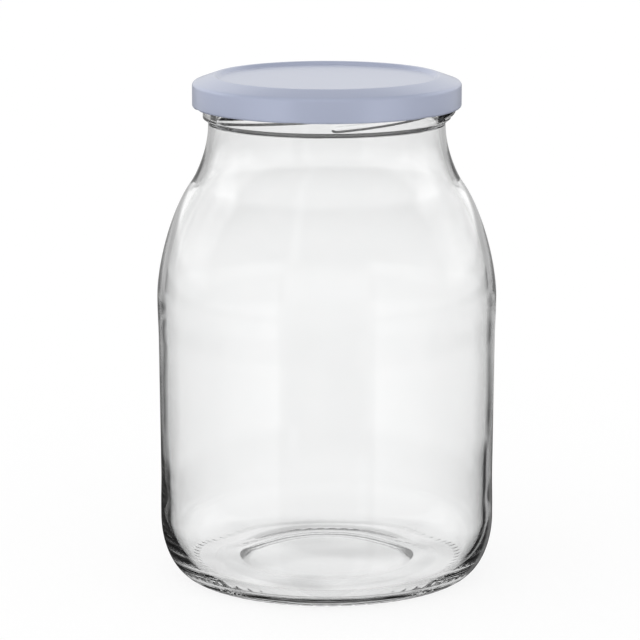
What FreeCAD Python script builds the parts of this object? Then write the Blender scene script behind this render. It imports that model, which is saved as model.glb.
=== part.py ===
import FreeCAD, Part
import math
import os

# Wide-mouth preserving jar of clear glass, closed with a stamped twist-off lid.
# Millimetres, +Z up, origin at the centre of the ring that the jar stands on.
# Angles run round the jar from the front, which is -Y, towards +X.

# ---- glass body, from the table upwards ----
BEARING_INNER_R = 36.0       # inner edge of the flat ring the jar stands on
BEARING_OUTER_R = 41.8       # where the heel starts to curve up
HEEL_R = 52.7                # widest point of the heel
HEEL_H = 19.0                # height of the heel's curve
HEEL_LAND_H = 3.0            # straight stretch on top of the heel
PANEL_INSET = 0.15           # how far the label panel lies inside the heel
PANEL_EASE_H = 10.0          # soft step from the heel into the panel
PANEL_H = 42.0               # straight label panel
PANEL_FLARE = 0.4            # the panel's top is this much wider than its foot
BULGE_PROUD = 0.35           # the shoulder's bulge stands this far outside the panel's top
BULGE_EASE_H = 15.5          # soft step from the panel out to the bulge
SHOULDER_H = 35.7            # bulge up to the point where the curve turns hollow
SHOULDER_TURN_R = 42.6       # radius at that point
SHOULDER_LEAN = 36.0         # degrees that the wall leans in there
SHOULDER_FULLNESS = (10.0, 10.5)   # reach of the curve's handles at bulge and turn
NECK_CURVE_H = 18.6          # turn up to the straight neck
NECK_FULLNESS = (3.0, 8.0)   # reach of the curve's handles at turn and neck
NECK_R = 37.0
NECK_LAND_H = 0.9            # straight neck under the finish
LEDGE_H = 1.2                # bevelled ledge out to the finish

# ---- finish: the threaded rim ----
FINISH_R = 38.65             # outer wall between the threads
FINISH_H = 11.3              # ledge to rim
BORE_R = 34.7                # clear opening
RIM_OUTER_ROUND = 1.1
RIM_INNER_ROUND = 1.3

THREAD_STARTS = 6
THREAD_OUT = 1.55            # how far a thread stands off the finish
THREAD_FOOT_H = 1.8          # thickness of a thread where it leaves the wall
THREAD_CREST_H = 0.9         # thickness at its crest
THREAD_LEAD = 21.0           # rise in one full turn
THREAD_SPAN = 84.0           # degrees that one thread runs
THREAD_FIRST = 4.0           # degrees, lower end of the first thread
THREAD_RISE = 1.5            # ledge up to the middle of a thread's lower end
THREAD_ROOT = 0.8            # how deep a thread is rooted in the wall

# ---- walls and base ----
WALL = 2.6                   # side wall
FLOOR_RIM_Z = 4.5            # inside floor at its edge
FLOOR_CROWN = 1.5            # the floor's centre is this much higher
INNER_HEEL_W = 8.5           # inside corner, across
INNER_HEEL_H = 15.0          # inside corner, up
PUSH_UP_RUN = 7.8            # soft rise from the bearing ring, across
PUSH_UP_H = 1.0              # and up
PUSH_UP_CROWN = 1.6          # further rise to the centre of the underside
PLATE_RING_R = 27.5          # edge left by the mould's bottom plate
PLATE_RING_STEP = 0.35

KNURL_COUNT = 66             # grooves that climb from the bearing ring's outer edge
KNURL_TILT = 18.0            # degrees that they climb outwards
KNURL_RUN = 6.0              # length of the cutter
KNURL_CUTTER_R = 1.1
KNURL_INNER_R = BEARING_OUTER_R - 1.0    # cutter's inner end: its place
KNURL_LOW_Z = -1.5                       # and the height of its axis there

# ---- lid ----
METAL = 0.3
THREAD_CLEARANCE = 1.45      # thread crest to the inside of the skirt
CREST_OVER_BORE = 0.3        # raised ring round the lid's panel, outside the bore
CREST_RISE = 2.1             # sharp top of the ring above the glass rim
CREST_ROUND = 1.5
BEVEL_DROP = 2.5             # ring's top down to the skirt's upper corner
CORNER_ROUND = 1.3
PANEL_WALL_W = 1.5           # width of the slope from the ring into the panel
PANEL_SINK = 1.3             # panel below the ring
PANEL_FOOT_ROUND = 0.9
SKIRT_DROP = 7.9             # glass rim down to the skirt's lower edge
CURL_R = 0.75                # rolled lower edge

LUG_SPAN = 7.0               # degrees
LUG_BITE = 1.1               # how far a lug reaches inside the thread's crest
LUG_LOW = 0.05               # lug's underside above the skirt's lower edge
LUG_CLEARANCE = 0.15         # lug to the thread above it and to the one below

SEAL_INSET = 0.4             # compound starts this far outside the raised ring
SEAL_EDGE_H = 0.15           # and ends where it is this thin


def point(r, z):
    """A point of a half section: r out from the axis, z up."""
    return FreeCAD.Vector(r, 0, z)


def line(a, b):
    return Part.makeLine(a, b)


def curve(*poles):
    """One Bezier edge."""
    bezier = Part.BezierCurve()
    bezier.setPoles(list(poles))
    return bezier.toShape()


def soft_step(a, b):
    """An S from a up to b that is upright at both ends."""
    reach = 0.4 * (b.z - a.z)
    return curve(a, a + point(0, reach), b - point(0, reach), b)


def quarter(start, end, start_is_level):
    """A quarter of an ellipse; level or upright at its start, the other way at its end."""
    kappa = 4.0 / 3.0 * (math.sqrt(2.0) - 1.0)
    if start_is_level:
        corner = point(end.x, start.z)
    else:
        corner = point(start.x, end.z)
    return curve(start, start + (corner - start) * kappa, end + (corner - end) * kappa, end)


def revolve(edges, degrees=360.0):
    """Turn a closed half section about Z into a solid."""
    face = Part.Face(Part.Wire(Part.__sortEdges__(edges)))
    return face.revolve(FreeCAD.Vector(0, 0, 0), FreeCAD.Vector(0, 0, 1), degrees)


def rounded_path(points, rounds):
    """Edges along points, with each inner corner rounded."""
    edges = []
    here = points[0]
    for before, corner, after, radius in zip(points, points[1:], points[2:], rounds):
        back = (before - corner).normalize()
        ahead = (after - corner).normalize()
        half = back.getAngle(ahead) / 2.0
        reach = radius / math.tan(half)
        start = corner + back * reach
        end = corner + ahead * reach
        middle = (back + ahead).normalize()
        top = corner + middle * (radius / math.sin(half) - radius)
        edges.append(line(here, start))
        edges.append(Part.Arc(start, top, end).toShape())
        here = end
    edges.append(line(here, points[-1]))
    return edges


def offset_points(points, distance):
    """Points of a path shifted to its right by distance, with corners kept."""
    def right(a, b):
        step = (b - a).normalize()
        return point(step.z, -step.x)

    shifted = [points[0] + right(points[0], points[1]) * distance]
    for before, corner, after in zip(points, points[1:], points[2:]):
        one = right(before, corner)
        two = right(corner, after)
        shifted.append(corner + (one + two) * (distance / (1.0 + one.dot(two))))
    shifted.append(points[-1] + right(points[-2], points[-1]) * distance)
    return shifted


def turned(shape, degrees):
    """Copy of a shape, turned about Z."""
    copy = shape.copy()
    copy.rotate(FreeCAD.Vector(0, 0, 0), FreeCAD.Vector(0, 0, 1), degrees)
    return copy


# ---- heights that follow from the sizes above ----
heel_top_z = HEEL_H + HEEL_LAND_H
panel_low_z = heel_top_z + PANEL_EASE_H
panel_high_z = panel_low_z + PANEL_H
bulge_z = panel_high_z + BULGE_EASE_H
turn_z = bulge_z + SHOULDER_H
neck_z = turn_z + NECK_CURVE_H
ledge_z = neck_z + NECK_LAND_H
finish_z = ledge_z + LEDGE_H
rim_z = finish_z + FINISH_H
thread_low_z = finish_z + THREAD_RISE

panel_low_r = HEEL_R - PANEL_INSET
panel_high_r = panel_low_r + PANEL_FLARE
bulge_r = panel_high_r + BULGE_PROUD
lean = math.radians(SHOULDER_LEAN)
lean_up = point(-math.sin(lean), math.cos(lean))      # direction of the wall at the turn
lean_in = point(-math.cos(lean), -math.sin(lean))     # from the outer wall to the inner


def outer_profile():
    """Outside of the glass, bearing ring to rim."""
    heel_foot = point(BEARING_OUTER_R, 0)
    heel_side = point(HEEL_R, HEEL_H)
    heel_top = point(HEEL_R, heel_top_z)
    panel_low = point(panel_low_r, panel_low_z)
    panel_high = point(panel_high_r, panel_high_z)
    bulge = point(bulge_r, bulge_z)
    turn = point(SHOULDER_TURN_R, turn_z)
    neck_low = point(NECK_R, neck_z)
    neck_high = point(NECK_R, ledge_z)
    finish_low = point(FINISH_R, finish_z)
    at_bulge, below_turn = SHOULDER_FULLNESS
    above_turn, at_neck = NECK_FULLNESS
    return [
        line(point(BEARING_INNER_R, 0), heel_foot),
        quarter(heel_foot, heel_side, True),
        line(heel_side, heel_top),
        soft_step(heel_top, panel_low),
        line(panel_low, panel_high),
        soft_step(panel_high, bulge),
        curve(bulge, bulge + point(0, at_bulge), turn - lean_up * below_turn, turn),
        curve(turn, turn + lean_up * above_turn, neck_low - point(0, at_neck), neck_low),
        line(neck_low, neck_high),
        line(neck_high, finish_low),
    ]


def rim_profile():
    """Finish wall, rounded rim and its flat sealing land."""
    outer = point(FINISH_R, rim_z - RIM_OUTER_ROUND)
    land_outer = point(FINISH_R - RIM_OUTER_ROUND, rim_z)
    land_inner = point(BORE_R + RIM_INNER_ROUND, rim_z)
    inner = point(BORE_R, rim_z - RIM_INNER_ROUND)
    return [
        line(point(FINISH_R, finish_z), outer),
        quarter(outer, land_outer, False),
        line(land_outer, land_inner),
        quarter(land_inner, inner, True),
    ]


def inner_profile():
    """Inside of the glass, rim down to the floor's centre."""
    turn = point(SHOULDER_TURN_R, turn_z) + lean_in * WALL
    bulge = point(bulge_r - WALL, bulge_z)
    panel_high = point(panel_high_r - WALL, panel_high_z)
    panel_low = point(panel_low_r - WALL, panel_low_z)
    heel_side = point(panel_low_r - WALL, FLOOR_RIM_Z + INNER_HEEL_H)
    floor_edge = point(heel_side.x - INNER_HEEL_W, FLOOR_RIM_Z)
    floor_mid = point(0, FLOOR_RIM_Z + FLOOR_CROWN)
    bore_low = point(BORE_R, neck_z + NECK_LAND_H)
    at_bulge, below_turn = SHOULDER_FULLNESS
    above_turn, at_neck = NECK_FULLNESS
    return [
        line(point(BORE_R, rim_z - RIM_INNER_ROUND), bore_low),
        curve(bore_low, bore_low - point(0, at_neck), turn + lean_up * above_turn, turn),
        curve(turn, turn - lean_up * below_turn, bulge + point(0, at_bulge), bulge),
        soft_step(panel_high, bulge),
        line(panel_high, panel_low),
        line(panel_low, heel_side),
        quarter(heel_side, floor_edge, False),
        curve(floor_edge, floor_edge - point(floor_edge.x / 2.0, 0),
              floor_mid + point(floor_edge.x / 2.0, 0), floor_mid),
    ]


def underside_profile():
    """Push-up under the floor, with the step that the mould's bottom plate leaves."""
    ring_edge = point(BEARING_INNER_R, 0)
    shelf = point(BEARING_INNER_R - PUSH_UP_RUN, PUSH_UP_H)
    reach = point(PUSH_UP_RUN * 0.4, 0)
    plate_low = point(PLATE_RING_R, PUSH_UP_H)
    plate_high = point(PLATE_RING_R - PLATE_RING_STEP, PUSH_UP_H + PLATE_RING_STEP)
    middle = point(0, PUSH_UP_H + PUSH_UP_CROWN)
    return [
        curve(ring_edge, ring_edge - reach, shelf + reach, shelf),
        line(shelf, plate_low),
        line(plate_low, plate_high),
        curve(plate_high, point(plate_high.x / 2.0, middle.z), middle),
    ]


def thread(start_angle):
    """One raised thread, lofted through sections that fade out at both ends."""
    sections = []
    stations = (0.0, 0.02, 0.06, 0.2, 0.4, 0.6, 0.8, 0.94, 0.98, 1.0)
    for station in stations:
        near_end = min(station, 1.0 - station)
        fade = min(1.0, 0.35 + 0.65 * math.sqrt(near_end / 0.06))
        angle = math.radians(start_angle + THREAD_SPAN * station - 90.0)
        middle_z = thread_low_z + THREAD_LEAD * THREAD_SPAN * station / 360.0
        root_r = FINISH_R - THREAD_ROOT
        crest_r = FINISH_R + THREAD_OUT * fade
        foot_half = THREAD_FOOT_H / 2.0 * fade
        crest_half = THREAD_CREST_H / 2.0 * fade
        root_half = foot_half + (foot_half - crest_half) * THREAD_ROOT / (THREAD_OUT * fade)
        corners = [(root_r, -root_half), (crest_r, -crest_half),
                   (crest_r, crest_half), (root_r, root_half)]
        ring = [FreeCAD.Vector(r * math.cos(angle), r * math.sin(angle), middle_z + z)
                for r, z in corners]
        sections.append(Part.makePolygon(ring + ring[:1]))
    return Part.makeLoft(sections, True, False)


def knurl_cutter(index):
    """One groove that climbs outwards over the foot of the heel."""
    angle = math.radians(360.0 * index / KNURL_COUNT)
    tilt = math.radians(KNURL_TILT)
    outwards = FreeCAD.Vector(math.cos(angle), math.sin(angle), 0)
    climb = outwards * math.cos(tilt) + FreeCAD.Vector(0, 0, math.sin(tilt))
    start = outwards * KNURL_INNER_R + FreeCAD.Vector(0, 0, KNURL_LOW_Z)
    return Part.makeCylinder(KNURL_CUTTER_R, KNURL_RUN, start, climb)


def jar():
    """The glass: turned body, raised threads, knurled bearing ring."""
    underside = underside_profile()
    inside = inner_profile()
    axis = line(point(0, PUSH_UP_H + PUSH_UP_CROWN), point(0, FLOOR_RIM_Z + FLOOR_CROWN))
    body = revolve(outer_profile() + rim_profile() + inside + underside + [axis])
    step = 360.0 / THREAD_STARTS
    threads = [thread(THREAD_FIRST + step * start) for start in range(THREAD_STARTS)]
    knurls = [knurl_cutter(index) for index in range(KNURL_COUNT)]
    return body.fuse(threads).cut(knurls)


# ---- lid sizes that follow from the glass ----
skirt_r = FINISH_R + THREAD_OUT + THREAD_CLEARANCE + METAL
skirt_low_z = rim_z - SKIRT_DROP
crest_z = rim_z + CREST_RISE
panel_z = crest_z - PANEL_SINK
crest_r = BORE_R + CREST_OVER_BORE
lid_corners = [
    point(skirt_r, skirt_low_z + CURL_R),
    point(skirt_r, crest_z - BEVEL_DROP),
    point(crest_r, crest_z),
    point(crest_r - PANEL_WALL_W, panel_z),
    point(0, panel_z),
]
lid_under = offset_points(lid_corners, -METAL)
rounds = [CORNER_ROUND, CREST_ROUND, PANEL_FOOT_ROUND]

# A lug fills the gap between two threads, where the upper one has just risen clear of it;
# both threads climb while they pass it, so its height gives way to that climb too.
lug_low_z = skirt_low_z + LUG_LOW
thread_gap = THREAD_LEAD / THREAD_STARTS - THREAD_FOOT_H
lug_h = thread_gap - THREAD_LEAD * LUG_SPAN / 360.0 - 2.0 * LUG_CLEARANCE
lug_climb = lug_low_z + lug_h + LUG_CLEARANCE + THREAD_FOOT_H / 2.0 - thread_low_z
lug_angle = THREAD_FIRST + 360.0 * lug_climb / THREAD_LEAD


def under_bevel(height):
    """Point on the underside of the lid's band, at a height above the glass rim."""
    low, high = lid_under[1], lid_under[2]
    share = (rim_z + height - low.z) / (high.z - low.z)
    return low + (high - low) * share


def lid_lug(angle):
    """One inward lug of the curl, which grips under a thread; angle is where it starts."""
    inner_r = FINISH_R + THREAD_OUT - LUG_BITE
    outer_r = skirt_r - CURL_R
    bevel = lug_h / 3.0
    corners = [point(inner_r, lug_low_z + bevel), point(inner_r + bevel, lug_low_z),
               point(outer_r, lug_low_z), point(outer_r, lug_low_z + lug_h),
               point(inner_r, lug_low_z + lug_h)]
    edges = [line(a, b) for a, b in zip(corners, corners[1:] + corners[:1])]
    return turned(revolve(edges, LUG_SPAN), angle - 90.0)


def lid():
    """Stamped shell: sunk panel, raised ring, sloping band, skirt with rolled edge and lugs."""
    outside = rounded_path(lid_corners, rounds)
    inner_rounds = [rounds[0] - METAL, rounds[1] - METAL, rounds[2] + METAL]
    curl_mid = point(skirt_r - CURL_R, skirt_low_z + CURL_R)
    skirt_inner_r = skirt_r - METAL
    curl_rise = math.sqrt(CURL_R ** 2 - (CURL_R - METAL) ** 2)
    curl_end = point(skirt_inner_r, curl_mid.z + curl_rise)
    inside = rounded_path([curl_end] + lid_under[1:], inner_rounds)
    curl = Part.Arc(lid_corners[0], curl_mid + point(-CURL_R, 0), curl_end).toShape()
    axis = line(lid_corners[-1], lid_under[-1])
    shell = revolve(outside + inside + [curl, axis])
    step = 360.0 / THREAD_STARTS
    lugs = [lid_lug(lug_angle + step * start) for start in range(THREAD_STARTS)]
    return shell.fuse(lugs)


def seal():
    """Ring of sealing compound between the lid's band and the flat land of the rim."""
    inner_r = crest_r + SEAL_INSET
    outer = under_bevel(SEAL_EDGE_H)
    low, high = lid_under[1], lid_under[2]
    inner = low + (high - low) * ((low.x - inner_r) / (low.x - high.x))
    shoulder = low + (high - low) * ((low.x - inner_r - CREST_ROUND) / (low.x - high.x))
    corners = [point(inner_r, rim_z), point(outer.x, rim_z), outer, shoulder,
               inner - point(0, METAL)]
    return revolve([line(a, b) for a, b in zip(corners, corners[1:] + corners[:1])])


os.makedirs("parts", exist_ok=True)
for name, solid in (("jar", jar()), ("lid", lid()), ("seal", seal())):
    solid = solid.removeSplitter().Solids[0]
    box = solid.optimalBoundingBox()
    print(name, solid.ShapeType, "valid", solid.isValid(),
          "cm3 %.2f" % (solid.Volume / 1000.0),
          "x %.2f..%.2f z %.2f..%.2f" % (box.XMin, box.XMax, box.ZMin, box.ZMax))
    solid.exportStep("parts/" + name + ".step")
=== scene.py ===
import math

import bpy
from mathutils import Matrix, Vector, noise


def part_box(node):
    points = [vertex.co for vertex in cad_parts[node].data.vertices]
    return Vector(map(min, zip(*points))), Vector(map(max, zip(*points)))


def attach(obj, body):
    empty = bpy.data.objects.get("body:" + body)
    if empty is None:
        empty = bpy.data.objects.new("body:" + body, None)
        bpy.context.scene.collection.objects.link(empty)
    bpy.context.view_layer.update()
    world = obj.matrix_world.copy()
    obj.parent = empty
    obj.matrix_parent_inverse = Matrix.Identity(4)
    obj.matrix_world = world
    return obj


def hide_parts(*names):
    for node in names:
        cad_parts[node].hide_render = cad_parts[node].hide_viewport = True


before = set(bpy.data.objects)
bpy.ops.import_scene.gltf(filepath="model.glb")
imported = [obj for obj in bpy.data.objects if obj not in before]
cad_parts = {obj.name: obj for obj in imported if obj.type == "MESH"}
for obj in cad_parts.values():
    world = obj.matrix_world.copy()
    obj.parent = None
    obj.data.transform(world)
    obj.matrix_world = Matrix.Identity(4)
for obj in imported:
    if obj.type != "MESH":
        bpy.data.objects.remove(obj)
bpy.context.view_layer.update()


# ---- jar ----
# A wide-mouth preserving jar of pressed clear glass. Its wall is nearly even outside and
# wavy inside, where the plunger and the air shaped it. It stands on a knurled ring, and
# its rim carries six short raised threads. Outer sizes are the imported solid's, in metres.

BEARING_INNER_R = 0.0360
BEARING_OUTER_R = 0.0418
HEEL_R = 0.0527
HEEL_H = 0.0190
HEEL_LAND_H = 0.0030
PANEL_INSET = 0.00015
PANEL_EASE_H = 0.0100
PANEL_H = 0.0420
PANEL_FLARE = 0.0004
BULGE_PROUD = 0.00035
BULGE_EASE_H = 0.0155
SHOULDER_H = 0.0357
SHOULDER_TURN_R = 0.0426
SHOULDER_LEAN = math.radians(36.0)
SHOULDER_FULLNESS = (0.0100, 0.0105)
NECK_CURVE_H = 0.0186
NECK_FULLNESS = (0.0030, 0.0080)
NECK_R = 0.0370
NECK_LAND_H = 0.0009
LEDGE_H = 0.0012
FINISH_R = 0.03865
BORE_R = 0.0347
RIM_OUTER_ROUND = 0.0011
RIM_INNER_ROUND = 0.0013

# The base rises less than the solid's, and alike on both faces, so it stays light.
WALL = 0.0026
FLOOR_RIM_Z = 0.0045
FLOOR_CROWN = 0.0006
FLOOR_STEP_H = 0.00033
INNER_HEEL_W = 0.0085
INNER_HEEL_H = 0.0150
PUSH_UP_RUN = 0.0078
PUSH_UP_H = 0.0004
PUSH_UP_CROWN = 0.0006
PLATE_RING_R = 0.0275
PLATE_RING_STEP = 0.0001

THREAD_STARTS = 6
THREAD_OUT = 0.00155
THREAD_FOOT_H = 0.0024
THREAD_CREST_H = 0.0008
THREAD_LEAD = 0.0210
THREAD_SPAN = math.radians(84.0)
THREAD_FIRST = math.radians(4.0)
THREAD_RISE = 0.0015
THREAD_ZONE_H = 0.0030
THREAD_END_FADE = math.radians(2.0)

KNURL_COUNT = 66
KNURL_TILT = math.radians(18.0)
KNURL_RUN = 0.0060
KNURL_CUTTER_R = 0.0011
KNURL_INNER_R = BEARING_OUTER_R - 0.0010
KNURL_LOW_Z = -0.0015

INNER_WAVE = 0.00009
WAVE_SLOW = 22
WAVE_QUICK = 50
WAVE_FADE_H = 0.02
WAVE_FADE_R = 0.03
SPIN_STEPS = 6 * KNURL_COUNT
HAIR = 1e-5   # far below any real size

heel_top_z = HEEL_H + HEEL_LAND_H
panel_low_z = heel_top_z + PANEL_EASE_H
panel_high_z = panel_low_z + PANEL_H
bulge_z = panel_high_z + BULGE_EASE_H
turn_z = bulge_z + SHOULDER_H
neck_z = turn_z + NECK_CURVE_H
ledge_z = neck_z + NECK_LAND_H
finish_z = ledge_z + LEDGE_H
rim_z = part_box("jar")[1].z
thread_low_z = finish_z + THREAD_RISE
panel_low_r = HEEL_R - PANEL_INSET
panel_high_r = panel_low_r + PANEL_FLARE
bulge_r = panel_high_r + BULGE_PROUD
lean_up = Vector((-math.sin(SHOULDER_LEAN), 0, math.cos(SHOULDER_LEAN)))
lean_in = Vector((-math.cos(SHOULDER_LEAN), 0, -math.sin(SHOULDER_LEAN)))


def at(r, z):
    """A point of a half section: r out from the axis, z up."""
    return Vector((r, 0, z))


def line(steps, a, b):
    """A straight run of a half section."""
    return steps, a, a.lerp(b, 1 / 3), a.lerp(b, 2 / 3), b


def curve(steps, a, a_reach, b_reach, b):
    """A curved run; the reaches are how far its handles stand off its ends."""
    return steps, a, a + a_reach, b + b_reach, b


def soft_step(steps, a, b):
    """An S from a up to b that is upright at both ends."""
    reach = at(0, 0.4 * (b.z - a.z))
    return curve(steps, a, reach, -reach, b)


def quarter(steps, start, end, corner):
    """A quarter of an ellipse that is tangent to the two sides of its corner."""
    kappa = 4 / 3 * (math.sqrt(2) - 1)
    return curve(steps, start, (corner - start) * kappa, (corner - end) * kappa, end)


def turned(name, runs, steps=SPIN_STEPS):
    """Draw the runs of a half section and spin them round the axis."""
    bpy.ops.object.select_all(action="DESELECT")
    bpy.ops.curve.primitive_bezier_curve_add(location=(0, 0, 0))
    piece = bpy.context.object
    piece.name = name
    piece.data.dimensions = "3D"
    piece.data.splines.clear()
    for count, a, a_handle, b_handle, b in runs:
        spline = piece.data.splines.new("BEZIER")
        spline.bezier_points.add(1)
        spline.resolution_u = count
        for knot, place, before, after in zip(
            spline.bezier_points, (a, b), (a, b_handle), (a_handle, b)
        ):
            knot.co, knot.handle_left, knot.handle_right = place, before, after
    bpy.ops.object.convert(target="MESH")
    bpy.ops.object.mode_set(mode="EDIT")
    bpy.ops.mesh.select_all(action="SELECT")
    bpy.ops.mesh.remove_doubles(threshold=1e-6)
    bpy.ops.mesh.spin(steps=steps, angle=math.tau, center=(0, 0, 0), axis=(0, 0, 1))
    bpy.ops.mesh.select_all(action="SELECT")
    bpy.ops.mesh.remove_doubles(threshold=1e-6)
    bpy.ops.object.mode_set(mode="OBJECT")
    return piece


def joined(name, *pieces):
    """Join pieces into one closed skin with its faces outwards."""
    bpy.ops.object.select_all(action="DESELECT")
    for piece in pieces:
        piece.select_set(True)
    bpy.context.view_layer.objects.active = pieces[0]
    bpy.ops.object.join()
    bpy.ops.object.mode_set(mode="EDIT")
    bpy.ops.mesh.select_all(action="SELECT")
    bpy.ops.mesh.remove_doubles(threshold=2e-6)
    bpy.ops.mesh.normals_make_consistent(inside=False)
    bpy.ops.object.mode_set(mode="OBJECT")
    bpy.ops.object.shade_smooth()
    pieces[0].name = pieces[0].data.name = name
    return pieces[0]


heel_foot = at(BEARING_OUTER_R, 0)
heel_side = at(HEEL_R, HEEL_H)
heel_top = at(HEEL_R, heel_top_z)
panel_low = at(panel_low_r, panel_low_z)
panel_high = at(panel_high_r, panel_high_z)
bulge = at(bulge_r, bulge_z)
turn = at(SHOULDER_TURN_R, turn_z)
neck_low = at(NECK_R, neck_z)
neck_high = at(NECK_R, ledge_z)
finish_low = at(FINISH_R, finish_z)
finish_high = at(FINISH_R, rim_z - RIM_OUTER_ROUND)
thread_top = at(FINISH_R, thread_low_z + THREAD_ZONE_H)
land_outer = at(FINISH_R - RIM_OUTER_ROUND, rim_z)
land_inner = at(BORE_R + RIM_INNER_ROUND, rim_z)
bearing_edge = at(BEARING_INNER_R, 0)
shelf = at(BEARING_INNER_R - PUSH_UP_RUN, PUSH_UP_H)
plate_low = at(PLATE_RING_R, PUSH_UP_H)
plate_high = at(PLATE_RING_R - PLATE_RING_STEP, PUSH_UP_H + PLATE_RING_STEP)
push_up_mid = at(0, PUSH_UP_H + PUSH_UP_CROWN)


def crown(steps, edge, middle):
    """A dome's half section from its edge in to its middle."""
    return curve(steps, edge, at(-edge.x / 3, (middle.z - edge.z) * 2 / 3),
                 at(edge.x / 3, 0), middle)


outside = turned("jar_outside", [
    crown(6, plate_high, push_up_mid),
    line(1, plate_high, plate_low),
    line(1, plate_low, shelf),
    curve(8, shelf, at(PUSH_UP_RUN * 0.4, 0), at(-PUSH_UP_RUN * 0.4, 0), bearing_edge),
    line(6, bearing_edge, heel_foot),
    quarter(34, heel_foot, heel_side, at(heel_side.x, heel_foot.z)),
    line(1, heel_side, heel_top),
    soft_step(5, heel_top, panel_low),
    line(2, panel_low, panel_high),
    soft_step(6, panel_high, bulge),
    curve(22, bulge, at(0, SHOULDER_FULLNESS[0]), lean_up * -SHOULDER_FULLNESS[1], turn),
    curve(12, turn, lean_up * NECK_FULLNESS[0], at(0, -NECK_FULLNESS[1]), neck_low),
    line(1, neck_low, neck_high),
    line(4, neck_high, finish_low),
    line(22, finish_low, thread_top),
    line(13, thread_top, finish_high),
    quarter(4, finish_high, land_outer, at(FINISH_R, rim_z)),
])

turn_in = turn + lean_in * WALL
bulge_in = bulge - at(WALL, 0)
panel_high_in = panel_high - at(WALL, 0)
panel_low_in = panel_low - at(WALL, 0)
heel_in = at(panel_low_in.x, FLOOR_RIM_Z + INNER_HEEL_H)
floor_edge = at(heel_in.x - INNER_HEEL_W, FLOOR_RIM_Z)
floor_foot = at(BEARING_INNER_R, FLOOR_RIM_Z)
floor_shelf = at(BEARING_INNER_R - PUSH_UP_RUN, FLOOR_RIM_Z + FLOOR_STEP_H)
floor_plate = at(plate_high.x, floor_shelf.z)
floor_mid = at(0, floor_shelf.z + FLOOR_CROWN)
bore_high = at(BORE_R, rim_z - RIM_INNER_ROUND)
bore_low = at(BORE_R, neck_z + NECK_LAND_H)

inside = turned("jar_inside", [
    line(1, land_outer, land_inner),
    quarter(4, land_inner, bore_high, at(BORE_R, rim_z)),
    line(5, bore_high, bore_low),
    curve(10, bore_low, at(0, -NECK_FULLNESS[1]), lean_up * NECK_FULLNESS[0], turn_in),
    curve(18, turn_in, lean_up * -SHOULDER_FULLNESS[1], at(0, SHOULDER_FULLNESS[0]), bulge_in),
    soft_step(8, panel_high_in, bulge_in),
    line(14, panel_high_in, panel_low_in),
    line(5, panel_low_in, heel_in),
    quarter(18, heel_in, floor_edge, at(heel_in.x, floor_edge.z)),
    line(2, floor_edge, floor_foot),
    curve(8, floor_foot, at(-PUSH_UP_RUN * 0.4, 0), at(PUSH_UP_RUN * 0.4, 0), floor_shelf),
    line(1, floor_shelf, floor_plate),
    crown(6, floor_plate, floor_mid),
])


def ease(share):
    """0 to 1 with soft ends."""
    share = min(1.0, max(0.0, share))
    return share * share * (3 - 2 * share)


def thread_out(angle, z):
    """How far the finish stands out at an angle from the front and a height."""
    out = 0.0
    for start in range(THREAD_STARTS):
        run = (angle - THREAD_FIRST - start * math.tau / THREAD_STARTS) % math.tau
        if run > THREAD_SPAN + THREAD_END_FADE:
            run -= math.tau
        off_end = max(-run, run - THREAD_SPAN, 0.0) * FINISH_R
        middle = thread_low_z + THREAD_LEAD * min(max(run, 0), THREAD_SPAN) / math.tau
        off = math.hypot(z - middle, off_end)
        reach = (THREAD_FOOT_H / 2 - off) / (THREAD_FOOT_H / 2 - THREAD_CREST_H / 2)
        out = max(out, THREAD_OUT * ease(reach))
    return out


for vertex in outside.data.vertices:
    x, y, z = vertex.co
    r = math.hypot(x, y)
    angle = math.atan2(x, -y) % math.tau
    if r > FINISH_R - HAIR and finish_z < z < finish_high.z:
        vertex.co.xy *= (r + thread_out(angle, z)) / r
    if KNURL_INNER_R < r < KNURL_INNER_R + KNURL_RUN and z < HEEL_H / 2:
        pitch = math.tau / KNURL_COUNT
        across = (angle / pitch - round(angle / pitch)) * pitch * r
        if abs(across) < KNURL_CUTTER_R:
            axis_z = KNURL_LOW_Z + (r - KNURL_INNER_R) * math.tan(KNURL_TILT)
            above = math.sqrt(KNURL_CUTTER_R ** 2 - across ** 2) / math.cos(KNURL_TILT)
            vertex.co.z = max(z, axis_z + above)

for vertex in inside.data.vertices:
    x, y, z = vertex.co
    r = math.hypot(x, y)
    if z < bore_low.z and r > HAIR:
        slow = noise.noise(Vector((x, y, z * 1.3)) * WAVE_SLOW)
        quick = noise.noise(Vector((x, y, z * 0.8)) * WAVE_QUICK + Vector((7, 3, 1)))
        fade = ease((bore_low.z - z) / WAVE_FADE_H) * ease(r / WAVE_FADE_R)
        vertex.co.xy *= (r + INNER_WAVE * fade * (slow + 0.25 * quick)) / r

jar = joined("jar_glass", outside, inside)


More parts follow.
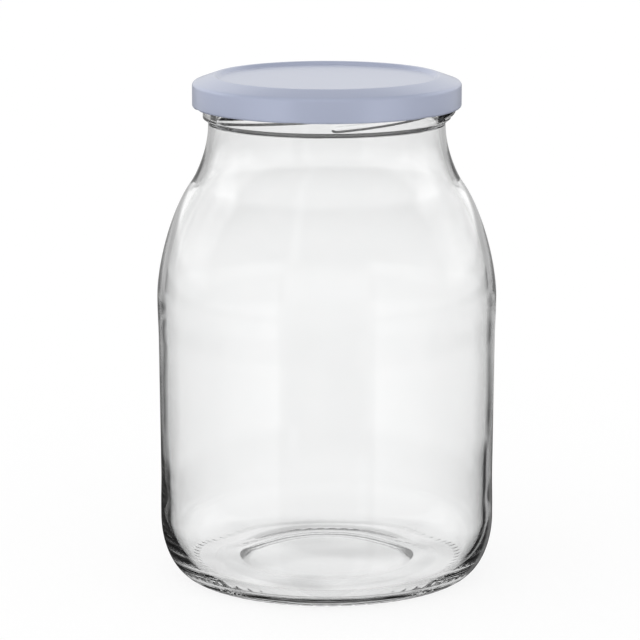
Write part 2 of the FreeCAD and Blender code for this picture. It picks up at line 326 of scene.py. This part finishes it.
class Wire:
    """An output in a shader's node tree; arithmetic on it adds Math nodes."""

    def __init__(self, tree, socket=None):
        self.tree = tree
        self.socket = socket

    def node(self, kind, settings={}, inputs={}, output=0):
        """Any node: its settings are set first, then its sockets get values or links."""
        made = self.tree.nodes.new(kind)
        for key, value in settings.items():
            if key == "stops":
                ramp = made.color_ramp
                while len(ramp.elements) < len(value):
                    ramp.elements.new(0.5)
                for element, (place, colour) in zip(ramp.elements, value):
                    element.position = place
                    element.color = colour if isinstance(colour, tuple) else (colour,) * 3 + (1,)
            else:
                setattr(made, key, value)
        for key, value in inputs.items():
            if isinstance(value, Wire):
                self.tree.links.new(value.socket, made.inputs[key])
            else:
                made.inputs[key].default_value = value
        return Wire(self.tree, made.outputs[output] if made.outputs else None)

    def math(self, operation, *values):
        return self.node("ShaderNodeMath", {"operation": operation}, dict(enumerate(values)))

    def mix(self, factor, a, b):
        """Colour a where the factor is 0, b where it is 1."""
        return self.node("ShaderNodeMix", {"data_type": "RGBA"},
                         {0: factor, 6: a, 7: b}, 2)

    def __getitem__(self, name):
        return Wire(self.tree, self.socket.node.outputs[name])

    def __add__(self, other):
        return self.math("ADD", self, other)

    def __mul__(self, other):
        return self.math("MULTIPLY", self, other)

    def __sub__(self, other):
        return self.math("SUBTRACT", self, other)

    def __rsub__(self, other):
        return self.math("SUBTRACT", other, self)

    def __truediv__(self, other):
        return self.math("DIVIDE", self, other)

    __radd__ = __add__
    __rmul__ = __mul__


def material(name):
    """A new material, emptied, and the wire that its nodes are added with."""
    made = bpy.data.materials.new(name)
    made.use_nodes = True
    made.node_tree.nodes.clear()
    return made, Wire(made.node_tree)


clear_glass, wire = material("clear_glass")
place = wire.node("ShaderNodeTexCoord", output="Object")
ripple = wire.node("ShaderNodeTexNoise", {}, {"Vector": place, "Scale": 38.0, "Detail": 2.0})
swirl = wire.node("ShaderNodeTexNoise", {}, {"Vector": place, "Scale": 120.0, "Detail": 3.0})
tint = wire.mix(swirl, (0.970, 0.975, 0.975, 1), (0.985, 0.985, 0.985, 1))
waves = wire.node("ShaderNodeBump", {}, {"Strength": 0.03, "Distance": 0.0006, "Height": ripple})
glass = wire.node("ShaderNodeBsdfPrincipled", {}, {
    "Base Color": tint, "Roughness": 0.0, "IOR": 1.52, "Transmission Weight": 1.0,
    "Normal": waves})
wire.node("ShaderNodeOutputMaterial", {}, {"Surface": glass})
jar.data.materials.clear()
jar.data.materials.append(clear_glass)
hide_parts("jar")
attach(jar, "root")


# ---- lid ----
# A twist-off lid stamped from thin tinplate: sunk panel, raised ring, sloping band and a
# skirt whose edge is rolled inwards and pressed in at six places, which grip the threads.
# It is lacquered pale blue-grey outside and mid-grey inside; that dark inside grey is partly
# painted shade for the dark gap between the skirt and the glass.

METAL = 0.0003
THREAD_CLEARANCE = 0.00145
CREST_OVER_BORE = 0.0003
CREST_RISE = 0.0021
CREST_ROUND = 0.0015
BEVEL_DROP = 0.0025
CORNER_ROUND = 0.0013
PANEL_WALL_W = 0.0015
PANEL_SINK = 0.0013
PANEL_FOOT_ROUND = 0.0009
SKIRT_DROP = 0.0079
CURL_R = 0.00075
LUG_ANGLE = math.radians(47.0)
LUG_SPAN = math.radians(7.0)
LUG_REACH = 0.0020
LUG_FADE = 0.4
EDGE_SLACK = 0.0001

skirt_r = FINISH_R + THREAD_OUT + THREAD_CLEARANCE + METAL
skirt_low_z = rim_z - SKIRT_DROP
crest_z = rim_z + CREST_RISE
crest_r = BORE_R + CREST_OVER_BORE
panel_z = crest_z - PANEL_SINK


def rounded(corners, rounds, steps):
    """Runs along the corners of a half section, with each inner corner rounded."""
    runs = []
    here = corners[0]
    for before, corner, after, radius in zip(corners, corners[1:], corners[2:], rounds):
        back, ahead = (before - corner).normalized(), (after - corner).normalized()
        reach = radius / math.tan(back.angle(ahead) / 2)
        start, end = corner + back * reach, corner + ahead * reach
        handle = 4 / 3 * math.tan((math.pi - back.angle(ahead)) / 4) * radius
        runs.append(line(2, here, start))
        runs.append(curve(steps, start, -back * handle, -ahead * handle, end))
        here = end
    runs.append(line(6, here, corners[-1]))
    return runs


curl_mid = at(skirt_r - CURL_R, skirt_low_z + CURL_R)
curl_out = at(skirt_r, curl_mid.z)
curl_low = at(curl_mid.x, skirt_low_z)
curl_in = at(curl_mid.x - CURL_R + METAL, curl_mid.z)
curl_top = at(curl_mid.x, curl_mid.z + CURL_R - METAL)
lid = turned("lid_shell", [
    quarter(5, curl_top, curl_in, at(curl_in.x, curl_top.z)),
    quarter(5, curl_in, curl_low, at(curl_in.x, curl_low.z)),
    quarter(6, curl_low, curl_out, at(curl_out.x, curl_low.z)),
] + rounded([
    curl_out,
    at(skirt_r, crest_z - BEVEL_DROP),
    at(crest_r, crest_z),
    at(crest_r - PANEL_WALL_W, panel_z),
    at(0, panel_z),
], [CORNER_ROUND, CREST_ROUND, PANEL_FOOT_ROUND], 8), 288)
lid = joined("lid_shell", lid)
for vertex in lid.data.vertices:
    x, y, z = vertex.co
    r = math.hypot(x, y)
    angle = math.atan2(x, -y) % (math.tau / THREAD_STARTS)
    near = ease(1 + LUG_FADE - abs(angle - LUG_ANGLE) / (LUG_SPAN / 2))
    if z < curl_top.z + EDGE_SLACK and r < curl_out.x - EDGE_SLACK:
        vertex.co.xy *= (r - near * LUG_REACH * (curl_out.x - r) / (2 * CURL_R)) / r
thickness = lid.modifiers.new("tinplate", "SOLIDIFY")
thickness.thickness = METAL
thickness.offset = -1
thickness.material_offset = 1
thickness.material_offset_rim = 1

lid_lacquer, wire = material("lid_lacquer")
place = wire.node("ShaderNodeTexCoord", output="Object")
flow = wire.node("ShaderNodeTexNoise", {}, {"Vector": place, "Scale": 60.0, "Detail": 2.0})
grain = wire.node("ShaderNodeTexNoise", {}, {"Vector": place, "Scale": 2600.0, "Detail": 1.0})
colour = wire.mix(flow, (0.49, 0.535, 0.69, 1), (0.52, 0.565, 0.72, 1))
fine = wire.node("ShaderNodeBump", {}, {"Strength": 0.05, "Distance": 0.0001, "Height": grain})
paint = wire.node("ShaderNodeBsdfPrincipled", {}, {
    "Base Color": colour, "Metallic": 0.2, "Roughness": 0.34 + flow * 0.06, "Coat Weight": 0.5,
    "Coat Roughness": 0.2, "Normal": fine})
wire.node("ShaderNodeOutputMaterial", {}, {"Surface": paint})

# Mid-grey inside lacquer, kept dark as painted shade for the gap between the skirt and the
# glass, where the lid hides the light.
inside_lacquer_and_shade, wire = material("inside_lacquer_and_shade")
place = wire.node("ShaderNodeTexCoord", output="Object")
flow = wire.node("ShaderNodeTexNoise", {}, {"Vector": place, "Scale": 80.0, "Detail": 2.0})
colour = wire.mix(flow, (0.24, 0.24, 0.24, 1), (0.30, 0.30, 0.30, 1))
paint = wire.node("ShaderNodeBsdfPrincipled", {}, {
    "Base Color": colour, "Roughness": 0.35 + flow * 0.1})
wire.node("ShaderNodeOutputMaterial", {}, {"Surface": paint})

lid.data.materials.clear()
lid.data.materials.append(lid_lacquer)
lid.data.materials.append(inside_lacquer_and_shade)
bpy.ops.object.modifier_apply(modifier=thickness.name)
bpy.ops.object.shade_smooth()
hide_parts("lid")
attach(lid, "root")


# ---- seal ----
# A ring of soft plastisol flowed into the lid's band, which the glass rim beds into.
# It is matt off-white, with small pits from curing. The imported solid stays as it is.

sealing_compound, wire = material("sealing_compound")
place = wire.node("ShaderNodeTexCoord", output="Object")
pits = wire.node("ShaderNodeTexNoise", {}, {"Vector": place, "Scale": 900.0, "Detail": 2.0})
colour = wire.mix(pits, (0.74, 0.72, 0.66, 1), (0.80, 0.78, 0.73, 1))
fine = wire.node("ShaderNodeBump", {}, {"Strength": 0.2, "Distance": 0.0001, "Height": pits})
paint = wire.node("ShaderNodeBsdfPrincipled", {}, {
    "Base Color": colour, "Roughness": 0.55 + pits * 0.1, "Normal": fine})
wire.node("ShaderNodeOutputMaterial", {}, {"Surface": paint})
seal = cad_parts["seal"]
for slot in seal.material_slots:
    slot.material = sealing_compound


# ---- floor ----
# A pale matt table. Seen straight on or through the glass it glows like lit paper, so it
# runs white into the backdrop and keeps only a faint shadow of the jar.

FLOOR_R = 6.0
FLOOR_GLOW = 1.1
GLOW_SEEN_STRAIGHT = 0.78
GLOW_SEEN_THROUGH = 0.92
FAR_FLOOR = (0.65, 0.95)
FAR_SHADE = 0.91
UNDER_JAR = (0.062, 0.038)


def grey(level):
    """A neutral colour."""
    return (level, level, level, 1)


bpy.ops.object.select_all(action="DESELECT")
bpy.ops.mesh.primitive_circle_add(vertices=128, radius=FLOOR_R, fill_type="NGON")
floor = bpy.context.object
floor.name = "floor"

pale_table, wire = material("pale_table")
path = wire.node("ShaderNodeLightPath")
straight = path["Is Camera Ray"]
through = path["Is Transmission Ray"]
place = wire.node("ShaderNodeTexCoord", output="Object")
from_middle = wire.node("ShaderNodeVectorMath", {"operation": "LENGTH"}, {0: place}, "Value")
grain = wire.node("ShaderNodeTexNoise", {}, {"Vector": place, "Scale": 40.0, "Detail": 3.0})
matt = wire.node("ShaderNodeBsdfDiffuse", {}, {
    "Color": wire.mix(grain, grey(0.80), grey(0.84))})

# Through the glass the far floor is a little grey, and just under the jar it is painted with a
# cloudy shadow and caustic of the jar.
far = wire.node("ShaderNodeMapRange", {}, {
    "Value": from_middle, "From Min": FAR_FLOOR[0], "From Max": FAR_FLOOR[1]})
jar_shadow_mask = wire.node("ShaderNodeMapRange", {"interpolation_type": "SMOOTHSTEP"}, {
    "Value": from_middle, "From Min": UNDER_JAR[0], "From Max": UNDER_JAR[1]})
painted_jar_shadow = wire.node("ShaderNodeTexNoise", {}, {"Vector": place, "Scale": 28.0, "Detail": 1.5})
painted_jar_shadow = wire.node("ShaderNodeValToRGB", {"stops": [(0.42, 0.66), (0.56, 0.84)]}, {0: painted_jar_shadow})
shade = wire.mix(far * through, grey(1), grey(FAR_SHADE))
shade = wire.mix(jar_shadow_mask * through, shade, painted_jar_shadow)
glow = wire.node("ShaderNodeEmission", {}, {"Color": shade, "Strength": FLOOR_GLOW})
share = wire.math("MAXIMUM", straight * GLOW_SEEN_STRAIGHT, through * GLOW_SEEN_THROUGH)
mixed = wire.node("ShaderNodeMixShader", {}, {0: share, 1: matt, 2: glow})

# A ray mirrored in the jar passes it, and meets the room's light tables and flags below.
mirrored = wire.math("GREATER_THAN", path["Glossy Depth"], 0.5)
clear = wire.node("ShaderNodeBsdfTransparent", {}, {"Color": grey(1)})
mixed = wire.node("ShaderNodeMixShader", {}, {0: mirrored, 1: mixed, 2: clear})
wire.node("ShaderNodeOutputMaterial", {}, {"Surface": mixed})
floor.data.materials.append(pale_table)


# ---- studio ----
# A white room with no lamps. Soft light comes from all round for the lacquer; the glass
# also sees two tall light boxes in front, a white backdrop behind, and dark flags at its
# sides, which draw its edges.

bpy.context.scene.cycles.max_bounces = 32
bpy.context.scene.cycles.glossy_bounces = 32
bpy.context.scene.cycles.transmission_bounces = 32

room = bpy.data.worlds.new("white_room")
bpy.context.scene.world = room
room.use_nodes = True
room.node_tree.nodes.clear()
wire = Wire(room.node_tree)


def between(value, low, high):
    """0 below low, 1 above high, smooth between them."""
    return wire.node("ShaderNodeMapRange", {"interpolation_type": "SMOOTHSTEP"}, {
        "Value": value, "From Min": low, "From Max": high})


def ramp(value, *stops):
    """A level that runs through the stops (place, level)."""
    return wire.node("ShaderNodeValToRGB", {"stops": stops}, {0: value})


def scaled(colour, factor):
    """A colour times a number."""
    return wire.node("ShaderNodeVectorMath", {"operation": "SCALE"}, {
        0: colour, "Scale": factor})


def blotches(x, y, z, detail=1.0):
    """Soft noise over the directions, finer or coarser along each axis."""
    return wire.node("ShaderNodeTexNoise", {}, {
        "Vector": wire.node("ShaderNodeVectorMath", {"operation": "MULTIPLY"}, {
            0: direction, 1: (x, y, z)}),
        "Scale": 1.0, "Detail": detail})


path = wire.node("ShaderNodeLightPath")
direction = wire.node("ShaderNodeTexCoord", output="Generated")
away = wire.node("ShaderNodeSeparateXYZ", {}, {0: direction})
up = away["Z"]
sideways = wire.math("ABSOLUTE", away["X"])
sweep = wire.math("ARCTAN2", sideways, wire.math("ABSOLUTE", away["Y"])) / (math.pi / 2)
behind = between(away["Y"], 0.0, 0.1)
on_left = 1 - between(away["X"], -0.1, 0.1)
overhead = between(up, 0.15, 0.45)
patches = ramp(blotches(6.0, 6.0, 6.0, 2.0), (0.35, 0.7), (0.65, 1.0))

# Plain light on matt and lacquered faces: stronger in front and at the left.
soft = scaled(ramp(up * 0.5 + 0.5, (0.0, 0.84), (0.5, 1.22), (1.0, 0.62)),
              1.06 - away["X"] * 0.22 - away["X"] * away["X"] * 0.3 - away["Y"] * 0.45)

# Flags: dark bands one above another at each side, ragged, and unbroken at the heel.
HEEL_LOW = (-0.256, -0.238)
FLAG_FOOT, FLAG_SPAN = -0.27, 0.14
at_heel = 1 - between(up, *HEEL_LOW)
climb = (up - FLAG_FOOT) / FLAG_SPAN
flags = wire.mix(
    on_left,
    ramp(climb, (0.0, 1.0), (0.164, 0.9), (0.36, 0.85), (0.40, 0.6), (0.455, 0.1),
         (0.50, 0.1), (0.52, 0.6), (0.61, 0.6), (0.68, 0.1), (1.0, 0.0)),
    ramp(climb, (0.0, 1.0), (0.157, 1.0), (0.214, 0.45), (0.271, 0.7), (0.393, 0.95),
         (0.45, 0.15), (0.48, 0.75), (0.58, 0.85), (0.64, 0.2), (1.0, 0.0)))
flags = wire.math("MAXIMUM", flags + blotches(3.0, 1.0, 70.0) - 0.5, at_heel)

# What the outer face mirrors: the light boxes in front, the flags and backdrop behind.
FRONT_LOW = (-0.27, -0.21)
REAR_LOW = (-0.245, -0.215)
front = ramp(sweep, (0.0, 0.05), (0.355, 0.07), (0.375, 0.72), (0.60, 0.5), (1.0, 0.25))
front = wire.mix((1 - between(up, *FRONT_LOW)) * between(sweep, 0.75, 0.9), front,
                 wire.mix(on_left, grey(0.09), grey(0.02)))
rear = wire.mix(
    flags,
    ramp(sweep, (0.0, 0.5), (0.15, 0.4), (0.25, 0.30), (0.36, 0.45), (0.41, 0.65),
         (1.0, 0.25)),
    ramp(sweep, (0.0, 0.35), (0.12, 0.25), (0.20, 0.06), (0.33, 0.06), (0.42, 0.5),
         (1.0, 0.25)))
rear_low = wire.mix(
    on_left,
    ramp(sweep, (0.13, 0.04), (0.17, 0.3), (0.28, 0.3), (0.33, 0.05)),
    grey(0.02))
rear_low = wire.mix(
    wire.math("MAXIMUM", between(up, -0.60, -0.45), between(sweep, 0.12, 0.20)),
    grey(0.75), rear_low)
rear = wire.mix(1 - between(up, *REAR_LOW), rear, rear_low)
outer = wire.mix(behind, front, rear)
outer = wire.mix(overhead, outer, grey(0.12))
backdrop = between(away["Y"], 0.0, 0.3) * between(up, -0.02, 0.08) * (1 - between(up, 0.5, 0.8))
outer = wire.mix(backdrop, outer, grey(1))

# What is seen after one turn inside the wall: the jar's dark edge lines.
NECK_BAND = (-0.165, -0.145, -0.10, -0.085)
ragged = sweep + (blotches(2.0, 2.0, 60.0) - 0.5) * 0.2
edge = wire.mix(
    flags,
    ramp(ragged, (0.0, 0.35), (0.17, 0.30), (0.24, 0.30), (0.31, 0.38), (0.38, 0.5),
         (0.50, 0.45), (1.0, 0.2)),
    ramp(ragged, (0.0, 0.12), (0.17, 0.06), (0.24, 0.03), (0.29, 0.06), (0.36, 0.34),
         (0.42, 0.6), (1.0, 0.2)))
edge = wire.mix(between(up, -0.175, -0.135), edge, grey(0.5))
at_neck = between(up, *NECK_BAND[:2]) * (1 - between(up, *NECK_BAND[2:]))
edge = wire.mix(at_neck * between(sweep, 0.33, 0.38), edge, grey(0.06))
edge = wire.mix(overhead, edge, grey(0.12))
edge_low = wire.mix(
    on_left,
    ramp(sweep, (0.22, 0.06), (0.25, 0.45), (0.30, 0.45), (0.33, 0.02)),
    grey(0.02))
edge = wire.mix(at_heel, edge, edge_low)
edge = wire.mix(behind * between(up, 0.0, 0.06), edge, scaled(patches, 1.25))
edge = wire.mix(behind * (1 - between(up, -0.62, -0.52)), edge, grey(0.8))

# What is seen after many turns, in the heel and the base.
deep_seen = wire.math(
    "MAXIMUM",
    between(up, -0.12, 0.1) * between(away["Y"], 0.4, 0.7),
    between(up, -0.55, -0.35) * behind * (1 - between(sideways, 0.2, 0.4)))
deep = wire.mix(deep_seen, grey(0.03), patches)

# What is seen straight through: white, and darker overhead, under the lid.
turns = path["Glossy Depth"]
seen_through = ramp(up * 0.5 + 0.5, (0.0, 1.0), (0.64, 1.0), (0.74, 0.35), (1.0, 0.2))
for turns_over, seen in ((0.5, edge), (1.5, patches), (2.5, deep)):
    seen_through = wire.mix(wire.math("GREATER_THAN", turns, turns_over), seen_through, seen)

level = wire.mix(path["Is Glossy Ray"], soft, outer)
level = wire.mix(path["Is Transmission Ray"], level, seen_through)
level = wire.mix(path["Is Camera Ray"], level, grey(1))
light = wire.node("ShaderNodeBackground", {}, {"Color": level, "Strength": 1.0})
wire.node("ShaderNodeOutputWorld", {}, {"Surface": light})


# ---- camera ----
# A long lens a metre away, looking a little down at the jar.

CAMERA_AT = (-0.00213, -1.050, 0.2905)
CAMERA_DOWN = math.radians(11.268)
LENS_MM = 191.0
SENSOR_MM = 36.0

bpy.ops.object.camera_add(location=CAMERA_AT, rotation=(math.pi / 2 - CAMERA_DOWN, 0, 0))
camera = bpy.context.object
camera.data.lens = LENS_MM
camera.data.sensor_width = SENSOR_MM
camera.data.clip_start = 0.01
bpy.context.scene.camera = camera
bpy.context.scene.view_settings.view_transform = "Standard"
